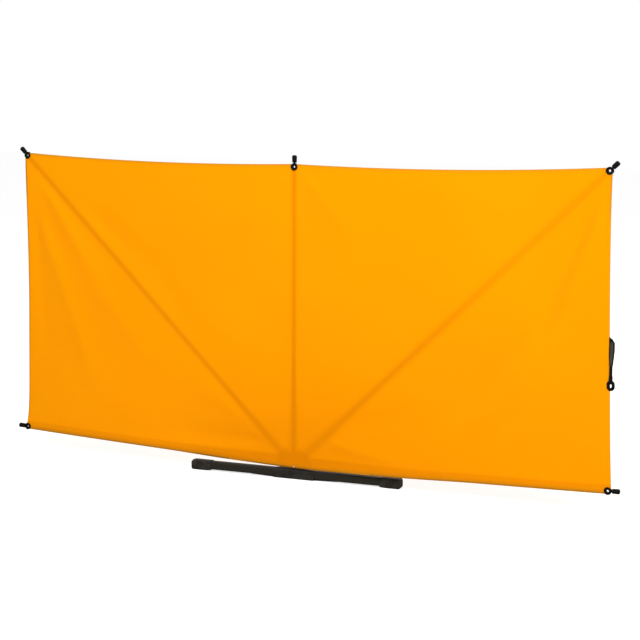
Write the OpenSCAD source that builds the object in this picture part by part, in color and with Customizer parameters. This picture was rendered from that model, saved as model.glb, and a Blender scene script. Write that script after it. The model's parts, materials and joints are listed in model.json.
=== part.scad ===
// Fan-fold privacy screen: one cloth sheet held open by five ribs that fan out
// of a hub. The hub stands on a saddle clamped round the middle of a foot bar,
// which lies turned a little from the cloth's plane.
// Millimetres, +Z up, +X along the screen, the cloth faces -Y.
// The origin is on the ground, under the middle of the saddle.

/* [Screen] */
// Distance between the two upper corner eyes
eye_span = 3150; // [2400:10:3400]
// How much further out each lower corner eye sits
low_eye_out = 22; // [0:1:40]
// Height of the lower corner eyes above the ground
low_eye_z = 118; // [112:1:150]
// Height of the upper corner eyes above the lower ones
eye_rise = 1466; // [1200:1:1600]
// How far the middle eye sits below the upper corner eyes
middle_drop = 22; // [0:1:60]
// Sag of each half of the top edge
top_sag = 21; // [0:1:60]
// Sag of the left side edge
left_sag = 24; // [0:1:40]
// Sag of the right side edge
right_sag = 10; // [0:1:40]
// Sag of each half of the bottom edge
low_sag = 5; // [0:1:10]
// Cloth left outside the eyes' centres
cloth_margin = 14; // [13.8:0.1:16]
// Thickness of the cloth with its seams
cloth_t = 1.2; // [0.8:0.1:2]

/* [Ribs] */
// Outside diameter of a rib
rib_d = 14; // [10:0.5:15]
// Wall of a rib
rib_wall = 1.5; // [1:0.1:3]
// Outside diameter of the moulded sockets at the rib ends
socket_d = 18; // [17:0.5:18]
// Outside diameter of the eye at a rib's tip
eye_d = 36; // [32:1:37]
// Hole of the eye
eye_hole_d = 12; // [10:1:18]
// How far the tip reaches past the eye's centre
tip_reach = 57; // [45:1:70]
// Diameter of the tip's round end
tip_d = 24.5; // [22:0.5:26]

/* [Hub] */
// Distance of each hinge pin from the middle
pin_x = 52; // [50:1:60]
// Height of the hinge pins
pin_z = 92; // [90:1:100]
// Diameter of the hinge pins
pin_d = 8; // [6:1:10]
// Distance between a rib's axis and the axis of its pin
rib_offset = 17; // [17:0.5:20]
// Thickness of the hub plates
plate_t = 3; // [2:0.5:4]
// Half width of the hub plates at the bottom
plate_low_half = 112; // [90:1:130]
// Half width of the hub plates at the top
plate_high_half = 75; // [60:1:90]

/* [Foot] */
// Length of the foot bar over its end caps
foot_len = 1124; // [800:10:1400]
// How far the foot stands turned from the cloth's plane, in degrees
foot_turn = 3.8; // [0:0.1:6]
// Depth of the bar, front to back
bar_w = 40; // [30:1:44]
// Height of the bar's own section
bar_h = 41; // [34:1:43]
// Gap between the bar and the ground
bar_clear = 7; // [4:1:8]
// Wall of the bar
bar_wall = 2; // [1.5:0.5:3]
// Length of an end cap
cap_len = 107; // [60:1:140]
// Length of the saddle along the bar
saddle_len = 215; // [160:1:260]
// How far the saddle's back rises above the bar in the middle
saddle_rise = 5.5; // [3:0.5:7]
// Length of the keel under the bar
keel_len = 460; // [300:10:500]

/* [Hidden] */
$fn = 48;

CLOTH = "orange";
MOULDED = "#26262a";
TUBE = "#7d8084";
STEEL = "#9a9c9f";
BAR = "#32302a";
WEBBING = "#1c1c1e";

// How far a cut runs past the face it opens, and how far joined solids overlap
cut = 1;

// Layers through the hub, measured from the ribs' plane outwards
side_gap = 0.5;
tang_t = 8;
fork_gap = 0.3;
socket_r = socket_d / 2;
plate_in = socket_r + side_gap;
plate_out = plate_in + plate_t;
cloth_back = plate_out + side_gap;
cloth_front = cloth_back + cloth_t;
cloth_mid = (cloth_back + cloth_front) / 2;

// Eye positions on the right half, as [x, z]
low_eye = [eye_span / 2 + low_eye_out, low_eye_z];
high_eye = [eye_span / 2, low_eye_z + eye_rise];
top_eye = [0, low_eye_z + eye_rise - middle_drop];

// A rib's reach and tilt. Its axis passes the pin at rib_offset, on the upper
// side for a diagonal rib and on the lower side for a low rib.
function reach(p) = norm([p[0] - pin_x, p[1] - pin_z]);
function rib_len(p) = sqrt(pow(reach(p), 2) - pow(rib_offset, 2));
function aim(p) = atan2(p[1] - pin_z, p[0] - pin_x);
function skew(p) = asin(rib_offset / reach(p));
diag_len = rib_len(high_eye);
diag_tilt = aim(high_eye) - skew(high_eye);
low_len = rib_len(low_eye);
low_tilt = aim(low_eye) + skew(low_eye);
centre_len = top_eye[1] - pin_z;

// Hinge parts
knuckle_r = 12;
pin_clear = 0.05;
socket_start = 22;
socket_end = 78;
rib_start = 30;
arm_heel = 101.5;
arm_toe = 60;
arm_lap = 4;

// Eye and tip
eye_front = cloth_mid + 4;
eye_back = 4.6;
groove_r = 13;
groove_w = cloth_t + 1.2;
cloth_cut_r = 13.5;
boss_d = 12;
neck_d = 12;
neck_start = 19;
tip_start = 21;
tip_y = (eye_front + eye_back) / 2;
tip_waist_d = 23;
tip_round = 8;
tip_edge = 1;
collar_len = 52;
collar_start = 14;
rib_stop = 24;

// Sleeve round a rib
sleeve_in_r = 8.5;
sleeve_t = 1.2;
sleeve_foot = 11.5;
sleeve_hub_gap = 12;
sleeve_eye_gap = 70;

// Hub and foot
plate_low_z = pin_z - 30;
plate_high_z = pin_z + 46;
plate_corner = 10;
core_half = 34;
core_top = pin_z - 14;
boss_half = 10;
boss_top = plate_high_z - 2;
bar_r = 8;
bar_z = bar_clear + bar_h / 2;
bar_top = bar_clear + bar_h;
saddle_wall = 3;
saddle_pad = 80;
keel_t = 1.5;
keel_side = 1;
arch_lift = 0.6;
arch_half_w = 12;
cap_wall = 2.5;
cap_pad = 75;
cap_round = 14;

// Strap on the right edge
strap_top_z = 830;
strap_t = 3;
ring_w = 38;
ring_h = 50;
ring_bar = 12;
ring_t = 2.8;
ring_x = 9;
ring_z = 607;
strap_tab = [7, 82];
strap_tab_low = 90;
strap_lap = 2;
strap_low = 182;
strap_left = -8;
strap_right = 16;
strap_outer = [
    [strap_left, -6], [-2, 0], [12, -16], [24, -38], [24, -79],
    [21, -111], [14, -142], [strap_right, -strap_low]
];
strap_inner = [
    [-strap_lap, -strap_low], [1, -152], [-4, -111], [strap_left, -strap_tab_low]
];
strap_share = (high_eye[1] - strap_top_z) / eye_rise;
strap_x = high_eye[0] + cloth_margin + strap_share * low_eye_out - right_sag;

seam_gap = 0.8;
edge_steps = 12;
left_bow = [1.4, 12];
right_bow = [3.5, 2];

// ---- helpers ----------------------------------------------------------------

// A flat outline drawn in x and z, standing between two depths behind the front
module upright(front, back) {
    translate([0, -back, 0])
        rotate([90, 0, 0])
            linear_extrude(front - back)
                children();
}

// Rounded rectangle with exact corner arcs
module round_rect(w, h, r) {
    square([w - 2 * r, h], center = true);
    square([w, h - 2 * r], center = true);
    for (sx = [-1, 1], sy = [-1, 1])
        translate([sx * (w / 2 - r), sy * (h / 2 - r)])
            circle(r);
}

// Puts a part drawn along +X from its hinge pin where the rib stands
module right_diag() {
    translate([pin_x, 0, pin_z])
        rotate([0, -diag_tilt, 0])
            children();
}

module right_low() {
    translate([pin_x, 0, pin_z])
        rotate([0, -low_tilt, 0])
            children();
}

module upright_rib() {
    translate([0, 0, pin_z])
        rotate([0, -90, 0])
            children();
}

module left_of() {
    mirror([1, 0, 0])
        children();
}

// A round bar along +X between two places
module rod_x(x0, x1, d) {
    translate([x0, 0, 0])
        rotate([0, 90, 0])
            cylinder(h = x1 - x0, d = d);
}

// A round bar along Y between two depths, the front one first
module rod_y(front, back, d) {
    translate([0, -back, 0])
        rotate([90, 0, 0])
            cylinder(h = front - back, d = d);
}

// ---- rib pieces, drawn along +X with the axis at height off -------------------

module rib(len, off) {
    color(TUBE)
        translate([0, 0, off])
            difference() {
                rod_x(rib_start, len - rib_stop, rib_d);
                rod_x(rib_start - cut, len - rib_stop + cut, rib_d - 2 * rib_wall);
            }
}

// Moulded eye: a socket on the rib's end and a grooved ring that grips the cloth
module eye(len, off) {
    color(MOULDED)
        translate([len, 0, off])
            difference() {
                union() {
                    rod_x(-collar_len - collar_start, -collar_start, socket_d);
                    translate([0, -eye_front, 0])
                        rotate([-90, 0, 0])
                            rotate_extrude()
                                eye_section();
                    translate([0, -tip_y, 0])
                        rod_x(0, neck_start, boss_d);
                }
                rod_y(eye_front + cut, -socket_r - cut, eye_hole_d);
                rod_x(-collar_len - collar_start - cut, -rib_stop, rib_d);
            }
}

module eye_section() {
    eye_t = eye_front - eye_back;
    lip = eye_front - cloth_mid - groove_w / 2;
    difference() {
        translate([eye_hole_d / 2 - cut, 0])
            square([eye_d / 2 - eye_hole_d / 2 + cut, eye_t]);
        translate([groove_r, lip])
            square([eye_d, groove_w]);
    }
}

// Moulded tip on a narrow neck
module tip(len, off) {
    color(MOULDED)
        translate([len, -tip_y, off])
            rotate([0, 90, 0])
                rotate_extrude()
                    tip_section();
}

module tip_section() {
    swell = tip_reach - tip_round;
    translate([0, neck_start])
        square([neck_d / 2, tip_start + cut - neck_start]);
    polygon([
        [0, tip_start],
        [tip_waist_d / 2 - tip_edge, tip_start],
        [tip_waist_d / 2, tip_start + tip_edge],
        [tip_d / 2, swell],
        [tip_d / 2 - tip_round, tip_reach],
        [0, tip_reach]
    ]);
    translate([tip_d / 2 - tip_round, swell])
        intersection() {
            circle(tip_round);
            square(tip_round);
        }
}

// Sewn tunnel behind the cloth, an arch over the rib on two flat feet
module sleeve(len, off) {
    color(CLOTH)
        translate([socket_end + sleeve_hub_gap, 0, off])
            rotate([90, 0, 90])
                linear_extrude(len - sleeve_eye_gap - socket_end - sleeve_hub_gap)
                    sleeve_section();
}

module sleeve_section() {
    out_r = sleeve_in_r + sleeve_t;
    foot_y = -cloth_back + fork_gap;
    difference() {
        union() {
            circle(out_r);
            translate([foot_y, -out_r])
                square([-foot_y, 2 * out_r]);
            translate([foot_y, -sleeve_foot])
                square([sleeve_t, 2 * sleeve_foot]);
        }
        circle(sleeve_in_r);
        translate([foot_y - cut, -sleeve_in_r])
            square([cut - foot_y, 2 * sleeve_in_r]);
    }
}

// Arm plate from the pin's disc to the socket; side is 1 for a diagonal rib
module arm_shape(side) {
    circle(knuckle_r);
    polygon([
        knuckle_r * [cos(arm_heel), side * sin(arm_heel)],
        knuckle_r * [cos(arm_toe), -side * sin(arm_toe)],
        [socket_start + arm_lap, side * (rib_offset - socket_r + cut)],
        [socket_start + arm_lap, side * (rib_offset + socket_r - cut)]
    ]);
}

module hinge_socket(side) {
    translate([0, 0, side * rib_offset])
        difference() {
            rod_x(socket_start, socket_end, socket_d);
            rod_x(rib_start, socket_end + cut, rib_d);
        }
}

module knuckle() {
    color(MOULDED)
        difference() {
            union() {
                upright(tang_t / 2, -tang_t / 2)
                    arm_shape(1);
                hinge_socket(1);
            }
            rod_y(tang_t, -tang_t, pin_d + 2 * pin_clear);
        }
}

module fork() {
    prong_in = tang_t / 2 + fork_gap;
    color(MOULDED)
        difference() {
            union() {
                upright(socket_r, prong_in)
                    arm_shape(-1);
                upright(-prong_in, -socket_r)
                    arm_shape(-1);
                hinge_socket(-1);
            }
            rod_y(plate_in, -plate_in, pin_d + 2 * pin_clear);
        }
}

module hinge_pin() {
    color(STEEL)
        rod_y(plate_out, -plate_out, pin_d);
}

// ---- hub and foot -------------------------------------------------------------

module plate_outline() {
    low = plate_low_half - plate_corner;
    high = plate_high_half - plate_corner;
    z0 = plate_low_z + plate_corner;
    z1 = plate_high_z - plate_corner;
    slant = atan2(z1 - z0, low - high);
    nx = plate_corner * sin(slant);
    nz = plate_corner * cos(slant);
    polygon([
        [-low, plate_low_z], [low, plate_low_z],
        [low + nx, z0 + nz], [high + nx, z1 + nz],
        [high, plate_high_z], [-high, plate_high_z],
        [-high - nx, z1 + nz], [-low - nx, z0 + nz]
    ]);
    for (s = [-1, 1]) {
        translate([s * low, z0])
            circle(plate_corner);
        translate([s * high, z1])
            circle(plate_corner);
    }
}

module hub_plate() {
    color(MOULDED)
        difference() {
            upright(plate_out, plate_in)
                plate_outline();
            for (s = [-1, 1])
                translate([s * pin_x, 0, pin_z])
                    rod_y(plate_out + cut, plate_in - cut, pin_d + 2 * pin_clear);
        }
}

// Block between the plates that carries the middle rib
module middle_socket() {
    color(MOULDED)
        difference() {
            upright(plate_in, -plate_in)
                translate([-boss_half, core_top])
                    square([2 * boss_half, boss_top - core_top]);
            upright_rib()
                rod_x(rib_start, boss_top, rib_d);
        }
}

module bar_section(w, h, r) {
    translate([0, bar_z])
        round_rect(w, h, r);
}

module along_bar(x0, x1) {
    translate([x0, 0, 0])
        rotate([90, 0, 90])
            linear_extrude(x1 - x0)
                children();
}

module foot_bar() {
    half = foot_len / 2 - cap_wall;
    color(BAR)
        along_bar(-half, half)
            difference() {
                bar_section(bar_w, bar_h, bar_r);
                bar_section(bar_w - 2 * bar_wall, bar_h - 2 * bar_wall, bar_r - bar_wall);
            }
}

// Moulded cap over the bar's right end. Its underside slopes down to a foot pad.
module foot_cap() {
    end = foot_len / 2;
    start = end - cap_len;
    skin_w = bar_w + 2 * cap_wall;
    skin_h = bar_top + cap_wall;
    color(MOULDED)
        difference() {
            intersection() {
                along_bar(start, end)
                    translate([0, skin_h / 2])
                        round_rect(skin_w, skin_h, bar_r + 1);
                upright(skin_w, -skin_w)
                    cap_side(start, end, skin_h);
            }
            along_bar(start - cut, end - cap_wall)
                bar_section(bar_w, bar_h, bar_r);
        }
}

// The cap seen from the front: a pad at the end, a slope, and rounded end corners
module cap_side(start, end, top) {
    polygon([
        [start, bar_clear - cap_wall],
        [end - cap_pad, 0],
        [end - cap_round, 0],
        [end, cap_round],
        [end, top - cap_round],
        [end - cap_round, top],
        [start, top]
    ]);
    translate([end - cap_round, cap_round])
        circle(cap_round);
    translate([end - cap_round, top - cap_round])
        circle(cap_round);
}

// Saddle clamped round the bar, with a keel under the bar and an arched back.
// The hub's core stands on it in the cloth's plane.
module saddle() {
    skin_w = bar_w + 2 * saddle_wall;
    color(MOULDED) {
        rotate([0, 0, foot_turn])
            difference() {
                union() {
                    intersection() {
                        saddle_shell(skin_w);
                        upright(skin_w, -skin_w)
                            saddle_side();
                    }
                    saddle_back();
                }
                along_bar(-keel_len, keel_len)
                    bar_section(bar_w, bar_h, bar_r);
            }
        upright(plate_in, -plate_in)
            translate([-core_half, bar_top + cut])
                square([2 * core_half, core_top - bar_top - cut]);
    }
}

module saddle_shell(skin_w) {
    keel_w = bar_w - 2 * (bar_r + keel_side);
    along_bar(-saddle_len / 2, saddle_len / 2)
        translate([0, bar_top / 2])
            round_rect(skin_w, bar_top, bar_r + 1);
    along_bar(-keel_len / 2, keel_len / 2)
        translate([-keel_w / 2, 0])
            square([keel_w, bar_clear + cut]);
}

// The saddle seen from the front: a pad in the middle, thinning towards both ends
module saddle_side() {
    half = keel_len / 2;
    polygon([
        [-saddle_pad, 0], [saddle_pad, 0],
        [half, bar_clear - keel_t], [half, bar_top],
        [-half, bar_top], [-half, bar_clear - keel_t]
    ]);
}

// Low arch along the top of the saddle
module saddle_back() {
    arch_r = (pow(saddle_len / 2, 2) + pow(saddle_rise, 2)) / (2 * saddle_rise);
    intersection() {
        upright(arch_half_w, -arch_half_w)
            translate([0, bar_top + saddle_rise + arch_lift - arch_r])
                circle(arch_r, $fn = 360);
        translate([-saddle_len / 2, -bar_w, bar_top - cut])
            cube([saddle_len, 2 * bar_w, bar_h]);
    }
}

// ---- cloth --------------------------------------------------------------------

// Points of a sagging edge between two places, bowed towards pull
function sagging(a, b, pull) = [
    for (i = [0 : edge_steps])
        let (t = i / edge_steps)
            a + t * (b - a) + 4 * t * (1 - t) * pull
];

// A side edge bows inwards; bow gives how quickly above and below the middle
function side_pull(t, bow) = 1 - pow(abs(2 * t - 1), t < 0.5 ? bow[0] : bow[1]);
function side_edge(a, b, sag, bow) = [
    for (i = [0 : 2 * edge_steps])
        let (t = i / edge_steps / 2)
            a + t * (b - a) - [sag * side_pull(t, bow), 0]
];

// Where the upper corner's rib line meets a given x
function seam_z(x) = high_eye[1] - (high_eye[0] - x) * tan(diag_tilt);
// Where the bottom edge runs at a given x
function hem_z(x) = low_eye[1] - cloth_margin - (low_eye[0] - x) * tan(low_tilt);

seam_step = seam_gap / 2 / cos(diag_tilt);

module high_panel() {
    color(CLOTH)
        upright(cloth_front, cloth_back)
            difference() {
                polygon(concat(
                    [[seam_gap / 2, seam_z(seam_gap / 2) + seam_step]],
                    sagging([seam_gap / 2, top_eye[1] + cloth_margin],
                            high_eye + [0, cloth_margin], [0, -top_sag]),
                    [high_eye + [0, seam_step]]
                ));
                translate(high_eye)
                    circle(cloth_cut_r);
                translate(top_eye)
                    circle(cloth_cut_r);
                translate(top_eye)
                    square([cloth_cut_r / 2, cloth_margin * 2]);
            }
}

module low_panel(sag, bow) {
    color(CLOTH)
        upright(cloth_front, cloth_back)
            difference() {
                polygon(concat(
                    [high_eye - [0, seam_step]],
                    side_edge(high_eye + [cloth_margin, 0], low_eye + [cloth_margin, 0],
                              sag, bow),
                    sagging(low_eye - [0, cloth_margin],
                            [seam_gap / 2, hem_z(seam_gap / 2)], [0, -low_sag]),
                    [[seam_gap / 2, seam_z(seam_gap / 2) - seam_step]]
                ));
                translate(high_eye)
                    circle(cloth_cut_r);
                translate(low_eye)
                    circle(cloth_cut_r);
            }
}

// Webbing strap sewn to the right edge, and the ring at its lower end. Its outline
// is given from the point where the strap leaves the edge.
module side_strap() {
    front = cloth_front + side_gap + ring_t + strap_t;
    ring_in = ring_z + ring_h / 2 - ring_bar - strap_top_z;
    color(WEBBING) {
        upright(front, front - strap_t)
            translate([strap_x, strap_top_z])
                polygon(concat(
                    strap_outer, [[strap_right, ring_in], [strap_lap, ring_in]],
                    strap_inner
                ));
        upright(front - strap_t, cloth_front + fork_gap)
            translate([strap_x + strap_left, strap_top_z - strap_tab_low])
                square(strap_tab);
    }
}

module ring_slot(w, h) {
    square([w, h - w], center = true);
    for (s = [-1, 1])
        translate([0, s * (h - w) / 2])
            circle(w / 2);
}

module strap_ring() {
    back = cloth_front + side_gap;
    color(MOULDED)
        upright(back + ring_t, back)
            translate([strap_x + ring_x, ring_z])
                difference() {
                    ring_slot(ring_w, ring_h);
                    ring_slot(ring_w - 2 * ring_bar, ring_h - 2 * ring_bar);
                }
}

// ---- nodes --------------------------------------------------------------------

rotate([0, 0, foot_turn]) foot_bar();
rotate([0, 0, foot_turn]) left_of() foot_cap();  // left_foot_cap
rotate([0, 0, foot_turn]) foot_cap();  // right_foot_cap
saddle();
hub_plate();  // hub_front_plate
mirror([0, 1, 0]) hub_plate();  // hub_back_plate
middle_socket();  // centre_socket
upright_rib() rib(centre_len, 0);  // centre_rib
upright_rib() eye(centre_len, 0);  // centre_eye
upright_rib() tip(centre_len, 0);  // centre_tip
upright_rib() sleeve(centre_len, 0);  // centre_sleeve
left_of() right_diag() hinge_pin();  // left_hinge_pin
left_of() right_diag() knuckle();  // left_diag_knuckle
left_of() right_diag() rib(diag_len, rib_offset);  // left_diag_rib
left_of() right_diag() eye(diag_len, rib_offset);  // left_diag_eye
left_of() right_diag() tip(diag_len, rib_offset);  // left_diag_tip
left_of() right_diag() sleeve(diag_len, rib_offset);  // left_diag_sleeve
left_of() right_low() fork();  // left_low_fork
left_of() right_low() rib(low_len, -rib_offset);  // left_low_rib
left_of() right_low() eye(low_len, -rib_offset);  // left_low_eye
left_of() right_low() tip(low_len, -rib_offset);  // left_low_tip
left_of() right_low() sleeve(low_len, -rib_offset);  // left_low_sleeve
right_diag() hinge_pin();  // right_hinge_pin
right_diag() knuckle();  // right_diag_knuckle
right_diag() rib(diag_len, rib_offset);  // right_diag_rib
right_diag() eye(diag_len, rib_offset);  // right_diag_eye
right_diag() tip(diag_len, rib_offset);  // right_diag_tip
right_diag() sleeve(diag_len, rib_offset);  // right_diag_sleeve
right_low() fork();  // right_low_fork
right_low() rib(low_len, -rib_offset);  // right_low_rib
right_low() eye(low_len, -rib_offset);  // right_low_eye
right_low() tip(low_len, -rib_offset);  // right_low_tip
right_low() sleeve(low_len, -rib_offset);  // right_low_sleeve
left_of() low_panel(left_sag, left_bow);  // left_low_panel
left_of() high_panel();  // left_high_panel
high_panel();  // right_high_panel
low_panel(right_sag, right_bow);  // right_low_panel
side_strap();
strap_ring();
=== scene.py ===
# %% [markdown]
# # A fan-fold privacy screen
#
# The screen is one sheet of orange cloth held open by five ribs. The ribs fan out of a
# hub on a long foot bar, like the sticks of a hand fan. The construction model already
# holds every rigid part, so this lesson dresses it: it gives each part its finish and
# sews the cloth, its sleeves and its strap as real soft goods.

# %% Load the construction model
import json
import math

import bmesh
import bpy
from mathutils import Matrix, Vector, noise


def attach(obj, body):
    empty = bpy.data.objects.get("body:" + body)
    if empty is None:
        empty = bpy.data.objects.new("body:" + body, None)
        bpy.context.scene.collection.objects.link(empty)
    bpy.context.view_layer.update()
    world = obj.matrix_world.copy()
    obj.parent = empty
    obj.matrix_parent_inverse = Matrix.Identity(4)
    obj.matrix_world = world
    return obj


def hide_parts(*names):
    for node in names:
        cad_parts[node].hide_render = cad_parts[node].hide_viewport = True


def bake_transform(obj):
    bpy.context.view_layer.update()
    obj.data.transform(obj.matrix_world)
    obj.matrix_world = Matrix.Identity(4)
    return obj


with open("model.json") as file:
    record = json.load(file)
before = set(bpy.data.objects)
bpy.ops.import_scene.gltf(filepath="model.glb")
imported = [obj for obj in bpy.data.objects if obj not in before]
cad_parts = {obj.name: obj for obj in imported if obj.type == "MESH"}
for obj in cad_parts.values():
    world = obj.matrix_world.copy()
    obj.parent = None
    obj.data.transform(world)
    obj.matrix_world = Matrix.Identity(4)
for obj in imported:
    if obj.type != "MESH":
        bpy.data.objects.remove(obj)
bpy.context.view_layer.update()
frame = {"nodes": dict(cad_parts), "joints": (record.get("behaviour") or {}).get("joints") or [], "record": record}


def add_object(name, data):
    """Puts a camera, a lamp or a mesh into the scene as an object."""
    made = bpy.data.objects.new(name, data)
    bpy.context.scene.collection.objects.link(made)
    return made


# %% [markdown]
# ## Where things are
#
# The record lists the holes and hinges with their places. Reading them here means that
# the cloth meets its eyes exactly, and nothing has to be fitted by eye. All the ribs
# lie in the plane y = 0, and the cloth hangs 13 mm in front of it. Both halves have the
# same ribs, so places are worked out for the right half and mirrored for the left one.

# %% Read eyes, hinges and rib lines
mounts = {m["name"]: Vector(m["pos_m"]) for m in frame["record"]["mounts"]}
HIGH_EYE = mounts["right_high_eye"]
LOW_EYE = mounts["right_low_eye"]
TOP_EYE = mounts["top_eye"]
hinges = {j["name"]: Vector(j["pos_m"]) for j in frame["joints"]}
PIN = hinges["right_diag_fold"]
# each rib's line passes this far beside its pin, and the sheet reaches this far past its eyes
RIB_OFFSET, MARGIN = 0.017, 0.014
CLOTH_FRONT, CLOTH_BACK = -0.0141, -0.0130


def aim_from_pin(place):
    """Angle of the line from the right hinge pin to a place, and how far that is."""
    across, up = place.x - PIN.x, place.z - PIN.z
    return math.atan2(up, across), math.hypot(across, up)


aim, reach = aim_from_pin(HIGH_EYE)
DIAG_TILT = aim - math.asin(RIB_OFFSET / reach)
aim, reach = aim_from_pin(LOW_EYE)
LOW_TILT = aim + math.asin(RIB_OFFSET / reach)
print("diagonal rib:", round(math.degrees(DIAG_TILT), 2), "low rib:", round(math.degrees(LOW_TILT), 2))

# %% [markdown]
# ## Camera
#
# A long lens from the right of the screen keeps the sheet's edges almost straight. The
# small downward shift of the frame leaves air above the tall folded shape.

# %% Place the camera
camera_data = bpy.data.cameras.new("camera")
camera_data.lens = 90
camera_data.shift_x = 0.0038
camera_data.shift_y = -0.12
camera = add_object("camera", camera_data)
camera.location = (3.4184, -7.0798, 1.9685)
PAN, TIP_DOWN, ROLL = 0.43584, 0.09942, 0.00369
turn = Matrix.Rotation(PAN, 3, "Z") @ Matrix.Rotation(math.pi / 2 - TIP_DOWN, 3, "X")
camera.rotation_euler = (turn @ Matrix.Rotation(ROLL, 3, "Z")).to_euler()
bpy.context.scene.camera = camera
bpy.context.scene.view_settings.view_transform = "Standard"
print("camera distance from the screen:", round(camera.location.length, 2), "m")

# %% [markdown]
# ## Node helpers
#
# Every finish below is built from nodes. A Wire stands for what one node gives, and
# reckoning with it adds Math nodes, so a pattern can be written like a formula.

# %% Helpers for finishes
class Wire:
    """What a node gives: a number, a place or a colour."""

    def __init__(self, tree, socket):
        self.tree, self.socket = tree, socket

    def reckon(self, operation, other=0.0, clamp=False):
        return maths(self.tree, operation, self, other, clamp)

    def __add__(self, other):
        return self.reckon("ADD", other)

    def __sub__(self, other):
        return self.reckon("SUBTRACT", other)

    def __mul__(self, other):
        return self.reckon("MULTIPLY", other)

    def __truediv__(self, other):
        return self.reckon("DIVIDE", other)

    def __abs__(self):
        return self.reckon("ABSOLUTE")

    def larger(self, other):
        return self.reckon("MAXIMUM", other)

    def squared(self):
        return self.reckon("POWER", 2.0)

    def wave(self, pitch):
        return (self * (2 * math.pi / pitch)).reckon("SINE")

    def ramp(self, low, high, out_low=0.0, out_high=1.0, smooth=True):
        """Goes from out_low to out_high while this goes from low to high."""
        node = self.tree.nodes.new("ShaderNodeMapRange")
        node.interpolation_type = "SMOOTHSTEP" if smooth else "LINEAR"
        ends = {"Value": self, "From Min": low, "From Max": high, "To Min": out_low, "To Max": out_high}
        for name, value in ends.items():
            plug(value, node.inputs[name])
        return Wire(self.tree, node.outputs["Result"])


def plug(value, socket):
    """Links a wire to a socket, or sets the socket to a number or a colour."""
    if isinstance(value, Wire):
        value.tree.links.new(value.socket, socket)
    else:
        socket.default_value = (*value, 1) if isinstance(value, tuple) else value


def maths(tree, operation, first, second=0.0, clamp=False):
    node = tree.nodes.new("ShaderNodeMath")
    node.operation = operation
    node.use_clamp = clamp
    plug(first, node.inputs[0])
    plug(second, node.inputs[1])
    return Wire(tree, node.outputs[0])


def new_finish(name, roughness, metallic=0.0, **sockets):
    finish = bpy.data.materials.new(name)
    finish.use_nodes = True
    surface = finish.node_tree.nodes["Principled BSDF"]
    for socket, value in dict(sockets, Roughness=roughness, Metallic=metallic).items():
        surface.inputs[socket.replace("_", " ")].default_value = value
    return finish, finish.node_tree, surface


# a Mix node has sockets for each data type, so the colour ones go by number
COLOUR_A, COLOUR_B, COLOUR_OUT = 6, 7, 2


def blend_colour(share, first, second):
    """The first colour where share is 0, and the second one where it is 1."""
    node = share.tree.nodes.new("ShaderNodeMix")
    node.data_type = "RGBA"
    for key, value in (("Factor", share), (COLOUR_A, first), (COLOUR_B, second)):
        plug(value, node.inputs[key])
    return Wire(share.tree, node.outputs[COLOUR_OUT])


def paint(surface, share, first, second):
    plug(blend_colour(share, first, second), surface.inputs["Base Color"])


def roughen(surface, pattern, low, high, smoothest, roughest):
    plug(pattern.ramp(low, high, smoothest, roughest), surface.inputs["Roughness"])


def bump(surface, height, depth):
    node = height.tree.nodes.new("ShaderNodeBump")
    node.inputs["Strength"].default_value = 1
    node.inputs["Distance"].default_value = depth
    plug(height, node.inputs["Height"])
    plug(Wire(height.tree, node.outputs["Normal"]), surface.inputs["Normal"])


def object_place(tree, stretch=(1, 1, 1)):
    """Object coordinates, stretched along the axes where a pattern runs one way."""
    place = tree.nodes.new("ShaderNodeTexCoord")
    mapping = tree.nodes.new("ShaderNodeMapping")
    mapping.inputs["Scale"].default_value = stretch
    tree.links.new(place.outputs["Object"], mapping.inputs["Vector"])
    return Wire(tree, mapping.outputs["Vector"])


def grain(place, scale, detail=3.0, rough=0.5):
    node = place.tree.nodes.new("ShaderNodeTexNoise")
    for name, value in (("Scale", scale), ("Detail", detail), ("Roughness", rough), ("Vector", place)):
        plug(value, node.inputs[name])
    return Wire(place.tree, node.outputs["Fac"])


def reading(tree, name):
    """A number that each point of the mesh keeps under a name."""
    node = tree.nodes.new("ShaderNodeAttribute")
    node.attribute_name = name
    return Wire(tree, node.outputs["Fac"])


print("helpers for finishes are ready")

# %% [markdown]
# ## Studio
#
# Studio light should be soft and even, so that a colour renders about as it is written.
# A key lamp at the upper right models the folds, a high fill lamp in front evens them,
# and a back lamp lights the rear. The world is grey as a light, and white where the
# camera or a reflection sees it. The floor glows a little for the camera alone, so it
# looks white and still darkens where the screen shades it.

# %% Light the studio
SKY_GREY, FLOOR_GREY, FLOOR_GLOW = 0.52, 0.62, 0.66


def area_lamp(name, place, target, size, power):
    data = bpy.data.lights.new(name, "AREA")
    data.shape = "RECTANGLE"
    data.size, data.size_y = size
    data.energy = power
    lamp = add_object(name, data)
    lamp.location = place
    lamp.rotation_euler = (Vector(target) - Vector(place)).to_track_quat("-Z", "Y").to_euler()


def rays(tree, kind):
    """1 for the rays of one kind, such as those that come straight from the camera."""
    return Wire(tree, tree.nodes.new("ShaderNodeLightPath").outputs[kind])


def put_out(tree, share, usual, seen, output):
    """Sends out the usual shader where share is 0, and the seen one where it is 1."""
    mix = tree.nodes.new("ShaderNodeMixShader")
    plug(share, mix.inputs[0])
    tree.links.new(usual.outputs[0], mix.inputs[1])
    tree.links.new(seen.outputs[0], mix.inputs[2])
    tree.links.new(mix.outputs[0], tree.nodes[output].inputs["Surface"])


area_lamp("key_lamp", (5.5, -4.0, 5.2), (0, 0, 0.9), (3.0, 3.0), 325)
area_lamp("fill_lamp", (0.1, -4.2, 5.4), (0, 0, 0.8), (4.0, 3.0), 165)
area_lamp("back_lamp", (0.0, 6.0, 4.0), (0, 0, 0.8), (5.0, 3.0), 110)

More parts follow.
